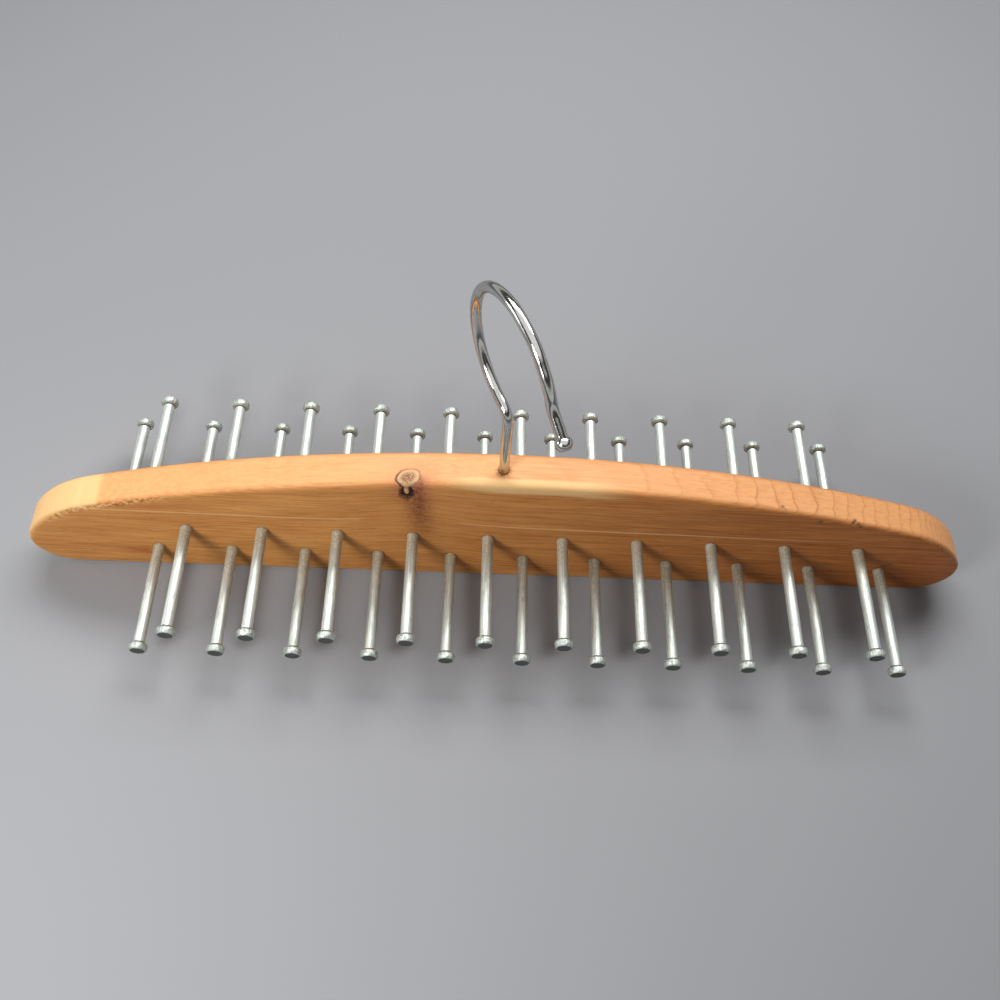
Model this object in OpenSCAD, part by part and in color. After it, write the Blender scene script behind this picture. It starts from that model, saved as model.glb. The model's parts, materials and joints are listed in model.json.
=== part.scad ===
// Tie hanger: an arched cedar board with rows of steel pegs on both faces
// and a steel wire hook that swivels in the top of the board.
// X runs along the board, Y through its thickness and Z up.
// The origin is the middle of the board's flat bottom edge. Millimetres.

/* [Board] */
// Length of the board, end to end
board_length = 442; // [400:1:500]
// Height of the board in the middle, under the hook
board_height = 86.5; // [80:0.5:110]
// Thickness of the board, planed from three quarter inch stock
board_thickness = 17.5; // [16:0.25:24]
// Height at which the arched top would reach the end of an unrounded board
end_height = 42.5; // [40:0.5:56]
// Radius of the shoulder, where the arched top turns down to the end
shoulder_r = 62; // [40:1:90]
// Radius of the bottom corners
corner_r = 19; // [12:0.5:20]
// Radius of the softened edges round both faces
edge_r = 4; // [2:0.25:6]

/* [Peg rows] */
// Distance from one peg to the next along a row
peg_pitch = 34.3; // [28:0.1:36]
// Number of pegs in a lower row
lower_count = 11; // [3:2:11]
// Number of pegs in an upper row
upper_count = 10; // [2:2:10]
// Height of the lower rows above the bottom edge
lower_row_z = 20.2; // [16:0.1:24]
// Height of the upper rows above the bottom edge
upper_row_z = 40; // [34:0.1:44]
// How far the front rows are shifted along the board
front_shift = 11.1; // [9:0.1:14]
// How far the back rows are shifted the other way
back_shift = 8.5; // [6:0.1:12]

/* [Peg] */
// Diameter of a peg's shank
peg_d = 5; // [4:0.1:6]
// Length of the shank that stands out of the board
peg_reach = 48; // [30:0.5:70]
// Depth of the hole that a peg is driven into
peg_depth = 11; // [8:0.5:13]
// How deep the wood bites into the shank all round
peg_bite = 0.05; // [0.02:0.01:0.1]
// Bevel round the driven end of a peg
peg_tip_bevel = 0.5; // [0.2:0.1:1]
// Diameter of a peg's head
head_d = 8.2; // [7.6:0.1:10]
// Thickness of a peg's head
head_t = 4.6; // [3.6:0.1:6]
// Radius of the shoulder on the shank side of the head
head_shoulder_r = 1.2; // [0.6:0.1:1.6]
// Radius round the outer face of the head
head_face_r = 1.1; // [0.4:0.1:1.6]

/* [Hook] */
// Diameter of the hook's wire
wire_d = 4.4; // [3.4:0.1:5]
// Where the hook stands along the board, a hair off the middle
hook_x = -0.9; // [-2:0.1:2]
// Way that the hook faces at rest, turned about its shank
hook_turn = -62; // [-180:1:180]
// Height of the middle of the loop above the board
loop_rise = 70.3; // [55:0.1:90]
// Radius of the loop, to the middle of the wire
loop_r = 29.75; // [22:0.25:40]
// How far the middle of the loop stands behind the shank
loop_set = 0.4; // [0:0.1:4]
// Radius of the bend from the shank into the loop
neck_bend_r = 7; // [5:0.5:12]
// Angle above level at which the loop ends
loop_end = 26; // [5:1:50]
// Radius of the bend that flares the tip outwards
flare_r = 14; // [8:1:30]
// Angle that the tip flares outwards
flare_angle = 25; // [5:1:50]
// Straight length between the flare and the knob
tip_straight = 7; // [2:0.5:20]
// Diameter of the knob on the tip
knob_d = 6.6; // [5.4:0.1:8]
// Length of the knob on the tip
knob_t = 5.2; // [4.4:0.1:7]
// Radius round the knob's two edges
knob_r = 2; // [0.6:0.1:2.4]

/* [Hook seat] */
// Depth of the hole for the hook's shank
seat_depth = 36; // [28:0.5:40]
// Running clearance all round the shank
shank_gap = 0.05; // [0.02:0.01:0.1]
// Clearance under the end of the shank
shank_end_gap = 0.3; // [0.2:0.1:0.6]
// Bevel round the end of the shank
shank_bevel = 0.5; // [0.2:0.1:1]
// Width of the worn bevel round the mouth of the hole
mouth_bevel = 0.5; // [0.2:0.1:1]
// Height of the groove's middle above the end of the shank
groove_z = 7; // [5:0.5:12]
// Depth of the groove round the shank
groove_depth = 0.7; // [0.5:0.05:1]
// Clearance between the groove and the pin that runs in it
groove_gap = 0.15; // [0.1:0.05:0.4]

/* [Retaining pin] */
// Diameter of the pin that holds the hook in the board
pin_d = 1.6; // [1.2:0.1:2]
// Length of the pin from the back face of the board
pin_length = 14; // [12:0.5:15]
// How deep the wood bites into the pin all round
pin_bite = 0.03; // [0.01:0.01:0.06]
// Diameter of the pin's flat head
pin_head_d = 2.6; // [2.2:0.1:3.2]
// Thickness of the pin's flat head
pin_head_t = 0.8; // [0.4:0.1:1.2]

/* [Hidden] */
$fn = 64;
WOOD = "#d9a066";
PLATED_STEEL = "#c9ccd0";
CHROME = "#dfe3e6";
BRIGHT_STEEL = "#a9adb2";
LOWER_NAMES = ["01", "02", "03", "04", "05", "06", "07", "08", "09", "10", "11"];

// Nothing that is cut away ends exactly on the face it cuts
cut = 1;
// Two lengths of wire meet in a short disc, a hair wider than the wire, that joins them
join_swell = 0.02;
join_length = 0.6;
join_gap = 0.1;
// Thickness of the thin slices that the rounded board is wrapped round
slice_t = 0.02;
edge_steps = 6;
corner_steps = 16;
shoulder_steps = 10;
arch_steps = 12;

half_length = board_length / 2;
face_y = board_thickness / 2;
arch_rise = board_height - end_height;
arch_r = (half_length * half_length + arch_rise * arch_rise) / (2 * arch_rise);
arch_c = [0, board_height - arch_r];
corner_c = [half_length - corner_r, corner_r];
// The shoulder's circle touches the arch's circle and the corner's circle from inside
shoulder_c = meeting_point(arch_c, arch_r - shoulder_r, corner_c, shoulder_r - corner_r);
arch_end = direction(shoulder_c - arch_c);
corner_end = direction(corner_c - shoulder_c);

seat_z = board_height - seat_depth;
shank_z = seat_z + shank_end_gap;
pin_z = shank_z + groove_z;
neck_r = wire_d / 2 - groove_depth;
pin_x = hook_x + neck_r + groove_gap + pin_d / 2;
groove_half = pin_d / 2 + groove_gap;

loop_c = [-loop_set, board_height + loop_rise];
// The neck's bend touches the shank's line and the outside of the loop
neck_side = loop_set - neck_bend_r;
neck_z = loop_c[1] - sqrt(pow(loop_r + neck_bend_r, 2) - pow(neck_side, 2));
neck_c = [-neck_bend_r, neck_z];
neck_turn = direction(loop_c - neck_c);
flare_c = loop_c + (loop_r + flare_r) * [cos(loop_end), sin(loop_end)];
flare_start = loop_end + 180;
flare_stop = flare_start + flare_angle;

function direction(v) = atan2(v[1], v[0]);

// The nearer to the middle of the two points at distance ra from a and rb from b
function meeting_point(a, ra, b, rb) =
    let (
        d = norm(b - a),
        along = (d * d + ra * ra - rb * rb) / (2 * d),
        across = sqrt(ra * ra - along * along),
        u = (b - a) / d
    )
    a + along * u + across * [-u[1], u[0]];

function arc_points(c, r, from, to, steps) =
    [for (i = [0 : steps]) let (a = from + (to - from) * i / steps) c + r * [cos(a), sin(a)]];

// Right half of the board's outline, from the bottom round to the top, set in by inset
function half_outline(inset) = concat(
    arc_points(corner_c, corner_r - inset, -90, corner_end, corner_steps),
    arc_points(shoulder_c, shoulder_r - inset, corner_end, arch_end, shoulder_steps),
    arc_points(arch_c, arch_r - inset, arch_end, 90, arch_steps)
);

function outline(inset) =
    let (right = half_outline(inset))
    concat(right, [for (i = [len(right) - 2 : -1 : 0]) [-right[i][0], right[i][1]]]);

// Places of the pegs along a row
function row_places(count, shift) =
    [for (i = [0 : count - 1]) shift + (i - (count - 1) / 2) * peg_pitch];

front_lower_x = row_places(lower_count, front_shift);
front_upper_x = row_places(upper_count, front_shift);
back_lower_x = row_places(lower_count, -back_shift);
back_upper_x = row_places(upper_count, -back_shift);

// Stands a shape that is drawn along Z out of a face: side is -1 for the front and 1 for the back
module out_of_face(x, z, side) {
    translate([x, side * face_y, z]) rotate([-side * 90, 0, 0]) children();
}

// The solid board, with both faces' edges rounded
module board_blank() {
    hull() {
        for (side = [-1, 1], i = [0 : edge_steps]) {
            a = 90 * i / edge_steps;
            y = side * (face_y - edge_r * (1 - cos(a)) - slice_t / 2);
            translate([0, y + slice_t / 2, 0])
                rotate([90, 0, 0])
                linear_extrude(slice_t)
                polygon(outline(edge_r * (1 - sin(a))));
        }
    }
}

module peg_hole() {
    translate([0, 0, -peg_depth]) cylinder(r = peg_d / 2 - peg_bite, h = peg_depth + cut);
}

module row_of_holes(places, z, side) {
    for (x = places) out_of_face(x, z, side) peg_hole();
}

// Hole for the hook's shank, with a worn bevel round its mouth
module hook_seat() {
    seat_r = wire_d / 2 + shank_gap;
    translate([hook_x, 0, seat_z]) cylinder(r = seat_r, h = seat_depth + cut);
    translate([hook_x, 0, board_height - mouth_bevel])
        cylinder(r1 = seat_r, r2 = seat_r + mouth_bevel + cut, h = mouth_bevel + cut);
}

// Hole for the retaining pin, from the back face, with room for its head
module pin_hole() {
    out_of_face(pin_x, pin_z, 1) {
        translate([0, 0, -pin_length]) cylinder(r = pin_d / 2 - pin_bite, h = pin_length + cut);
        translate([0, 0, -pin_head_t]) cylinder(r = pin_head_d / 2 - pin_bite, h = pin_head_t + cut);
    }
}

module board() {
    color(WOOD) difference() {
        board_blank();
        row_of_holes(front_lower_x, lower_row_z, -1);
        row_of_holes(front_upper_x, upper_row_z, -1);
        row_of_holes(back_lower_x, lower_row_z, 1);
        row_of_holes(back_upper_x, upper_row_z, 1);
        hook_seat();
        pin_hole();
    }
}

// Half section of a round head that sits on z = 0, with its two outer edges rounded
module head_section(d, t, low_r, high_r) {
    square([d / 2 - low_r, low_r]);
    translate([0, low_r]) square([d / 2, t - low_r - high_r]);
    translate([0, t - high_r]) square([d / 2 - high_r, high_r]);
    intersection() {
        translate([d / 2 - low_r, low_r]) circle(low_r);
        square([d / 2, t]);
    }
    intersection() {
        translate([d / 2 - high_r, t - high_r]) circle(high_r);
        square([d / 2, t]);
    }
}

// Half section of a peg, drawn along Z from the face of the board
module peg_section() {
    r = peg_d / 2;
    polygon([
        [0, -peg_depth],
        [r - peg_tip_bevel, -peg_depth],
        [r, peg_tip_bevel - peg_depth],
        [r, peg_reach + head_shoulder_r],
        [0, peg_reach + head_shoulder_r]
    ]);
    translate([0, peg_reach]) head_section(head_d, head_t, head_shoulder_r, head_face_r);
}

module peg() {
    color(PLATED_STEEL) rotate_extrude() peg_section();
}

module row_peg(places, i, z, side) {
    out_of_face(places[i], z, side) peg();
}

// Shank with the groove that the retaining pin runs in
module hook_shank() {
    r = wire_d / 2;
    rotate_extrude()
        polygon([
            [0, shank_z],
            [r - shank_bevel, shank_z],
            [r, shank_z + shank_bevel],
            [r, pin_z - groove_half],
            [neck_r, pin_z - groove_half],
            [neck_r, pin_z + groove_half],
            [r, pin_z + groove_half],
            [r, neck_z - join_gap],
            [0, neck_z - join_gap]
        ]);
}

// Moves to the angle a on the circle of radius r round c, with Z along the wire
module on_circle(c, r, a) {
    p = c + r * [cos(a), sin(a)];
    translate([p[0], 0, p[1]]) rotate([0, -a, 0]) children();
}

// An arc of wire in the plane of the hook, that ends just short of its neighbours
module wire_arc(c, r, from, sweep) {
    short = asin(join_gap / r);
    translate([c[0], 0, c[1]])
        rotate([90, 0, 0])
        rotate([0, 0, from + short])
        rotate_extrude(angle = sweep - 2 * short)
        translate([r, 0])
        circle(d = wire_d);
}

// The disc in which two lengths of wire meet
module wire_join(c, r, a) {
    on_circle(c, r, a)
        translate([0, 0, -join_length / 2])
        cylinder(r = wire_d / 2 + join_swell, h = join_length);
}

// Straight wire and rounded knob at the tip
module hook_tip() {
    on_circle(flare_c, flare_r, flare_stop)
        rotate_extrude() {
            translate([0, join_gap]) square([wire_d / 2, tip_straight + knob_r - join_gap]);
            translate([0, tip_straight]) head_section(knob_d, knob_t, knob_r, knob_r);
        }
}

module hook() {
    color(CHROME) translate([hook_x, 0, 0]) rotate([0, 0, hook_turn]) {
        hook_shank();
        wire_join(neck_c, neck_bend_r, 0);
        wire_arc(neck_c, neck_bend_r, 0, neck_turn);
        wire_join(neck_c, neck_bend_r, neck_turn);
        wire_arc(loop_c, loop_r, loop_end, 180 + neck_turn - loop_end);
        wire_join(loop_c, loop_r, loop_end);
        wire_arc(flare_c, flare_r, flare_start, flare_angle);
        wire_join(flare_c, flare_r, flare_stop);
        hook_tip();
    }
}

// Headed steel pin, driven in from the back face so that it runs in the shank's groove
module hook_retaining_pin() {
    color(BRIGHT_STEEL) out_of_face(pin_x, pin_z, 1) {
        translate([0, 0, -pin_length]) cylinder(d = pin_d, h = pin_length);
        translate([0, 0, -pin_head_t]) cylinder(d = pin_head_d, h = pin_head_t);
    }
}

board();
hook();
hook_retaining_pin();
for (i = [0 : lower_count - 1]) {
    row_peg(front_lower_x, i, lower_row_z, -1);
    row_peg(back_lower_x, i, lower_row_z, 1);
}
for (i = [0 : upper_count - 1]) {
    row_peg(front_upper_x, i, upper_row_z, -1);
    row_peg(back_upper_x, i, upper_row_z, 1);
}
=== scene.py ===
# %% [markdown]
# # A cedar tie hanger
# The real object is an arched cedar board with rows of plated steel pegs on both faces and a
# chromed wire hook that swivels in its top edge. The sizes, the pegs' places and the hook's axis
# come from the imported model, which is loaded first. Lengths below are in millimetres, and `MM`
# turns them into Blender's metres at the moment a mesh is made.

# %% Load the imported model
import json
import math

import bmesh
import bpy
import numpy as np
from mathutils import Matrix, Vector, geometry, noise


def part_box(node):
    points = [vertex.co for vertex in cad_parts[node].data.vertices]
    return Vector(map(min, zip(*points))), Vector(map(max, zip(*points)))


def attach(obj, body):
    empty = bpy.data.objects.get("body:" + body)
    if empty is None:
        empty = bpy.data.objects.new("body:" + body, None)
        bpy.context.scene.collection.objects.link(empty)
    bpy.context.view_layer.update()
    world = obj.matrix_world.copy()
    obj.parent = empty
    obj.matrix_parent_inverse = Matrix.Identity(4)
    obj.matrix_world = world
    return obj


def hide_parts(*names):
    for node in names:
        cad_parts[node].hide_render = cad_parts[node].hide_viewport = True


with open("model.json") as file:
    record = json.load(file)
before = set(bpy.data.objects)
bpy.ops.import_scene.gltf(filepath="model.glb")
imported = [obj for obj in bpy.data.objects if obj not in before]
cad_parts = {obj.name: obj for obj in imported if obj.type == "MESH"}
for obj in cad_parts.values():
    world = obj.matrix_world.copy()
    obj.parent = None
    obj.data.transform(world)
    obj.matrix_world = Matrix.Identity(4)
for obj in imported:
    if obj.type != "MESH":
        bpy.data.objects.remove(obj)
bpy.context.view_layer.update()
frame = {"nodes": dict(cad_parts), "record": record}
MM = 0.001
scene = bpy.context.scene
scene.view_settings.view_transform = "Standard"

# %% [markdown]
# ## The camera
# The photograph was taken from above and in front, with the board nearly filling the width of the
# picture. The camera's place, its three turns and its focal length were worked out by matching the
# pegs' ends with the picture. Writing the camera's matrix from three directions keeps the roll
# exact, where a Track To constraint would lose it.

# %% Place the camera
PICTURE = 1000
FOCAL_PX = 981.8
SENSOR = 36.0
camera_place = Vector((-13.8, -216.1, 440.0)) * MM
yaw, pitch, roll = (math.radians(a) for a in (3.27, -60.31, 4.94))

forward = Vector((math.sin(yaw) * math.cos(pitch), math.cos(yaw) * math.cos(pitch), math.sin(pitch)))
level = Vector((math.cos(yaw), -math.sin(yaw), 0))
upright = level.cross(forward)
right = level * math.cos(roll) + upright * math.sin(roll)
up = upright * math.cos(roll) - level * math.sin(roll)

camera_data = bpy.data.cameras.new("camera")
camera_data.sensor_width = SENSOR
camera_data.lens = FOCAL_PX * SENSOR / PICTURE
camera_data.clip_start = 0.01
camera = bpy.data.objects.new("camera", camera_data)
turn = Matrix((right, up, -forward)).transposed().to_4x4()
camera.matrix_world = Matrix.Translation(camera_place) @ turn
scene.collection.objects.link(camera)
scene.camera = camera
print("lens in mm:", round(camera_data.lens, 2))

# %% [markdown]
# ## Helpers for materials
# Designers write colours as sRGB hex values, and the shader needs linear numbers, so one function
# turns the first into the second. Another adds a node, sets it up and links it in one call, which
# keeps every material readable from top to bottom. An input may be a number, another node (its
# first output is used) or one named output of a node. A pattern's size is always given in
# millimetres, so that it can be compared with the real thing.

# %% Helpers for colours and nodes
def colour(hex_code):
    """A linear colour from an sRGB hex code."""
    parts = [int(hex_code[i:i + 2], 16) / 255 for i in (1, 3, 5)]
    return [c / 12.92 if c <= 0.04045 else ((c + 0.055) / 1.055) ** 2.4 for c in parts] + [1]


def add(tree, kind, inputs=None, **settings):
    """Adds a node with its settings, and fills or links its inputs."""
    node = tree.nodes.new("ShaderNode" + kind)
    for name, value in settings.items():
        setattr(node, name, value)
    for name, value in (inputs or {}).items():
        if isinstance(value, bpy.types.Node):
            value = value.outputs[0]
        if isinstance(value, bpy.types.NodeSocket):
            tree.links.new(value, node.inputs[name])
        else:
            node.inputs[name].default_value = value
    return node


def new_material(name):
    """An empty material, and the tree that its nodes are added to."""
    material = bpy.data.materials.new(name)
    material.use_nodes = True
    material.node_tree.nodes.clear()
    return material, material.node_tree


def place_in_mm(tree):
    """The place on the object in mm."""
    metres = add(tree, "TexCoord").outputs["Object"]
    return add(tree, "VectorMath", {0: metres, 1: (1 / MM, 1 / MM, 1 / MM)}, operation="MULTIPLY")


def per_mm(*sizes):
    """The scale at which a pattern has these sizes in mm along X, Y and Z."""
    return [1 / size for size in sizes]


print("helpers are ready")

# %% [markdown]
# ## The floor
# The floor is plain and pale, like a sheet of matt paper, and takes the soft shadows.

# %% Make the floor
FLOOR_SIZE = 6000.0
half = FLOOR_SIZE / 2 * MM
corners = [(-half, -half, 0), (half, -half, 0), (half, half, 0), (-half, half, 0)]
floor_mesh = bpy.data.meshes.new("floor")
floor_mesh.from_pydata(corners, [], [(0, 1, 2, 3)])
floor = bpy.data.objects.new("floor", floor_mesh)
scene.collection.objects.link(floor)

paper, tree = new_material("pale_paper_floor")
shader = add(tree, "BsdfPrincipled", {"Base Color": colour("#96979a"), "Roughness": 0.9})
add(tree, "OutputMaterial", {"Surface": shader})
floor_mesh.materials.append(paper)
print("floor in mm:", FLOOR_SIZE)

# %% [markdown]
# ## The studio and its lamps
# The studio's walls are pale near the floor, dark higher up and white overhead. Polished metal is
# only as lively as what it mirrors, so this change of light and dark is what makes it look like
# metal. Matt surfaces get only a small share of the walls' light, so that three soft lamps shape
# them: a long one like a bright ceiling a little behind the board, a small one at the left in
# front, which draws the pegs' shadows on the face, and a weak one far to the left, which fills the
# board's end.

# %% Make the studio and the lamps
WALL_SHADES = ((0.2, "#bab9b6"), (0.34, "#4e4b48"), (0.58, "#3e3b38"))
MATT_SHARE = 0.12
studio = bpy.data.worlds.new("studio")
scene.world = studio
studio.use_nodes = True
tree = studio.node_tree
tree.nodes.clear()
axes = add(tree, "SeparateXYZ", {"Vector": add(tree, "TexCoord").outputs["Generated"]})
walls = add(tree, "ValToRGB", {"Fac": axes.outputs["Z"]})
stops = walls.color_ramp.elements
stops[0].position, stops[0].color = 0.0, colour("#c6c5c2")
stops[1].position, stops[1].color = 0.8, colour("#ffffff")
for place, shade in WALL_SHADES:
    stops.new(place).color = colour(shade)
lit = add(tree, "LightPath").outputs["Is Diffuse Ray"]
strength = add(tree, "MapRange", {"Value": lit, "To Min": 1.0, "To Max": MATT_SHARE})
background = add(tree, "Background", {"Color": walls, "Strength": strength})
add(tree, "OutputWorld", {"Surface": background})


def soft_lamp(name, place_mm, target_mm, wide_mm, deep_mm, watts):
    """An oblong area lamp that points at the target."""
    data = bpy.data.lights.new(name, "AREA")
    data.shape = "RECTANGLE"
    data.size, data.size_y = wide_mm * MM, deep_mm * MM
    data.energy = watts
    lamp = bpy.data.objects.new(name, data)
    lamp.location = Vector(place_mm) * MM
    aim = (Vector(target_mm) - Vector(place_mm)).to_track_quat("-Z", "Y")
    lamp.rotation_euler = aim.to_euler()
    scene.collection.objects.link(lamp)


soft_lamp("ceiling_lamp", (80, 500, 840), (50, 0, 40), 1000, 300, 10.0)
soft_lamp("window_lamp", (-280, -320, 390), (-40, 0, 30), 170, 170, 1.85)
soft_lamp("side_lamp", (-720, 60, 300), (-200, 0, 40), 300, 300, 0.85)
print("studio and lamps are in place")

# %% [markdown]
# ## The board's outline
# The board's edge is a chain of arcs that run smoothly into each other: a corner, a shoulder and
# a long shallow arch on each side, and a straight bottom. A bandsaw follows such a line, and
# a router rounds both edges. The chain is worked out once as a fine table, so that any place along
# the edge can be looked up by its distance from the bottom's middle.

# %% Lay out the outline
END_HEIGHT = 42.5
SHOULDER_R = 62.0
CORNER_R = 19.0
EDGE_R = 2.6
TABLE_STEP = 0.05


def box_mm(node):
    """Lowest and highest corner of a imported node, in mm."""
    low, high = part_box(node)
    return np.array(low) / MM, np.array(high) / MM


def meeting_point(a, ra, b, rb):
    """The nearer to the middle of the two points at distance ra from a and rb from b."""
    d = np.linalg.norm(b - a)
    along = (d * d + ra * ra - rb * rb) / (2 * d)
    u = (b - a) / d
    return a + along * u + math.sqrt(ra * ra - along * along) * np.array([-u[1], u[0]])


def heading(v):
    """The angle of a direction."""
    return math.atan2(v[1], v[0])


half_length, face_y, board_height = box_mm("board")[1]
arch_rise = board_height - END_HEIGHT
arch_r = (half_length ** 2 + arch_rise ** 2) / (2 * arch_rise)
arch_c = np.array([0, board_height - arch_r])
corner_c = np.array([half_length - CORNER_R, CORNER_R])
shoulder_c = meeting_point(arch_c, arch_r - SHOULDER_R, corner_c, SHOULDER_R - CORNER_R)
turns = [(corner_c, CORNER_R, -math.pi / 2, heading(corner_c - shoulder_c)),
         (shoulder_c, SHOULDER_R, heading(corner_c - shoulder_c), heading(shoulder_c - arch_c)),
         (arch_c, arch_r, heading(shoulder_c - arch_c), math.pi / 2)]


def table_of_outline():
    """Distance along the edge, place and outward direction, from the bottom's middle and round."""
    rows = [(x, 0, 0, -1) for x in np.arange(0, corner_c[0], TABLE_STEP)]
    for c, r, start, stop in turns:
        for a in np.linspace(start, stop, round(r * (stop - start) / TABLE_STEP), endpoint=False):
            rows.append((c[0] + r * math.cos(a), c[1] + r * math.sin(a), math.cos(a), math.sin(a)))
    mirrored = [(-x, z, -nx, nz) for x, z, nx, nz in reversed(rows)]
    rows = np.array(rows + [(0, board_height, 0, 1)] + mirrored)
    steps = np.hypot(*np.diff(rows[:, :2], axis=0).T)
    return np.concatenate([[0], np.cumsum(steps)]), rows


outline_s, outline_rows = table_of_outline()
outline_length = outline_s[-1]
print("length round the board in mm:", round(outline_length, 1))

# %% [markdown]
# ## From flat patterns to the board's skin
# The board's skin is cut from three flat patterns, as a dressmaker would: one strip that runs
# round the edge and over both rounded corners, and the two faces. Two functions bend a pattern
# onto the board and give the direction that points out of the wood there.

# %% Bend a pattern onto the board
round_t = EDGE_R * math.pi / 2
flat_t = 2 * (face_y - EDGE_R)
strip_t = 2 * round_t + flat_t


def on_outline(s):
    """Place and outward direction at a distance along the edge."""
    return [np.interp(s, outline_s, outline_rows[:, k]) for k in range(4)]


def on_strip(points):
    """Places and normals of points of the edge strip: s runs along the edge, t from front to back."""
    x, z, nx, nz = on_outline(points[:, 0])
    t = points[:, 1]
    bend = np.clip(t, 0, round_t) + np.clip(t - round_t - flat_t, 0, round_t)
    angle = bend / EDGE_R
    middle = np.clip(t - round_t, 0, flat_t) - flat_t / 2
    inset = EDGE_R * (1 - np.sin(angle))
    y = middle - EDGE_R * np.cos(angle)
    place = np.stack([x - inset * nx, y, z - inset * nz], 1)
    normal = np.stack([np.sin(angle) * nx, -np.cos(angle), np.sin(angle) * nz], 1)
    return place, normal


def on_face(points, side):
    """Places and normals of points of a face: side is -1 for the front and 1 for the back."""
    flat = np.full(len(points), side * face_y)
    normal = np.zeros((len(points), 3))
    normal[:, 1] = side
    return np.stack([points[:, 0], flat, points[:, 1]], 1), normal


print("width of the edge strip in mm:", round(strip_t, 2))

# %% [markdown]
# ## Filling a pattern with triangles
# A constrained Delaunay triangulation fills a pattern, takes any holes in its stride and can be
# finer where a knot or a dent needs it. Points are laid in staggered rows, closer inside the named
# patches, and rings of points go round every hole so that the wood can dip smoothly towards it.

# %% Fill a pattern
RING_POINTS = 40
RING_STEPS = (0.3, 0.8, 1.5)
RING_CLEAR = 2.0
ROW_SHARE = 0.87
BORDER_SHARE = 0.35
SAME_POINT = 1e-5


def staggered(x0, x1, y0, y1, step):
    """Points in staggered rows over a rectangle."""
    rows = []
    for k, y in enumerate(np.arange(y0 + step / 2, y1, step * ROW_SHARE)):
        rows += [(x, y) for x in np.arange(x0 + step * (0.25 + 0.5 * (k % 2)), x1, step)]
    return np.array(rows)


def ring(cx, cy, r, shift=0.0):
    """Points on a circle."""
    a = (np.arange(RING_POINTS) + shift) * 2 * math.pi / RING_POINTS
    return np.stack([cx + r * np.cos(a), cy + r * np.sin(a)], 1)


def loose_points(border, holes, patches, step):
    """Points inside a convex border, finer in the patches, with rings round the holes."""
    after = np.roll(border, -1, axis=0) - border
    inward = np.stack([-after[:, 1], after[:, 0]], 1) / np.linalg.norm(after, axis=1)[:, None]
    low, high = border.min(axis=0), border.max(axis=0)
    loose = [staggered(low[0], high[0], low[1], high[1], step)]
    for cx, cy, hx, hy, fine in patches:
        for k, points in enumerate(loose):
            outside = (abs(points[:, 0] - cx) > hx) | (abs(points[:, 1] - cy) > hy)
            loose[k] = points[outside]
        loose.append(staggered(cx - hx, cx + hx, cy - hy, cy + hy, fine))
    inner = np.concatenate(loose)
    for cx, cy, r in holes:
        inner = inner[np.hypot(inner[:, 0] - cx, inner[:, 1] - cy) > r + RING_CLEAR]
        rings = [ring(cx, cy, r + d, 0.5 * (k % 2)) for k, d in enumerate(RING_STEPS, 1)]
        inner = np.concatenate([inner] + rings)
    room = (inner @ inward.T - (border * inward).sum(axis=1)).min(axis=1)
    return inner[room > BORDER_SHARE * step]


def fill(border, holes, patches, step):
    """Triangles inside a convex border, without the round holes (x, y, r)."""
    inner = loose_points(border, holes, patches, step)
    loops = [border] + [ring(*hole) for hole in holes]
    edges, first = [], 0
    for loop in loops:
        edges += [(first + k, first + (k + 1) % len(loop)) for k in range(len(loop))]
        first += len(loop)
    points = [Vector(p) for p in np.concatenate(loops + [inner])]
    verts, _, faces, *_ = geometry.delaunay_2d_cdt(points, edges, [], 0, SAME_POINT)
    verts = np.array(verts)
    faces = np.array([f for f in faces if len(f) == 3])
    centre = verts[faces].mean(axis=1)
    keep = np.ones(len(faces), bool)
    for cx, cy, r in holes:
        keep &= np.hypot(centre[:, 0] - cx, centre[:, 1] - cy) > r
    return verts, faces[keep]


print("ring points round each hole:", RING_POINTS)

# %% [markdown]
# ## The knot
# A knot sits in the top edge left of the hook: the stump of a branch that the tree grew round. Its
# outline is round with a blunt point to the front, so it is given by its reach in twelve
# directions. The same functions tell the mesh how deep to go and the material where to change its
# colour, so that shape and colour always agree.

# %% Describe the knot
KNOT = (-41.2, -5.0)
# directions in degrees, from the right round by the back, and the knot's reach in each
KNOT_ANGLES = (5, 39, 80, 125, 155, 189, 218, 248, 268, 290, 324, 345)
KNOT_REACH = (5.0, 5.5, 4.2, 4.3, 4.5, 4.95, 4.1, 4.0, 4.4, 3.7, 3.95, 4.6)
KNOT_POINT_Z = 83.0
KNOT_FIELD = 12.0


def wobble(P, scale):
    """Smooth noise between about -1 and 1, one value for each point."""
    spots = [(p[0] / scale[0], p[1] / scale[1], p[2] / scale[2]) for p in P]
    return np.array([noise.noise(Vector(spot)) for spot in spots])


def knot_ring(P):
    """0 in the middle of the knot, 1 on its outline, which has its point to the front."""
    u = P[:, 0] - KNOT[0]
    v = P[:, 1] - KNOT[1]
    reach = np.interp(np.degrees(np.arctan2(v, u)), KNOT_ANGLES, KNOT_REACH, period=360)
    return np.hypot(u, v) / reach + 0.02 * wobble(P, (0.8, 0.8, 0.8))


def near_knot(P):
    """True for points on the board's upper part round the knot, apart from its back."""
    return (abs(P[:, 0] - KNOT[0]) < KNOT_FIELD) & (P[:, 2] > 60) & (P[:, 1] < 6)


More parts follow.
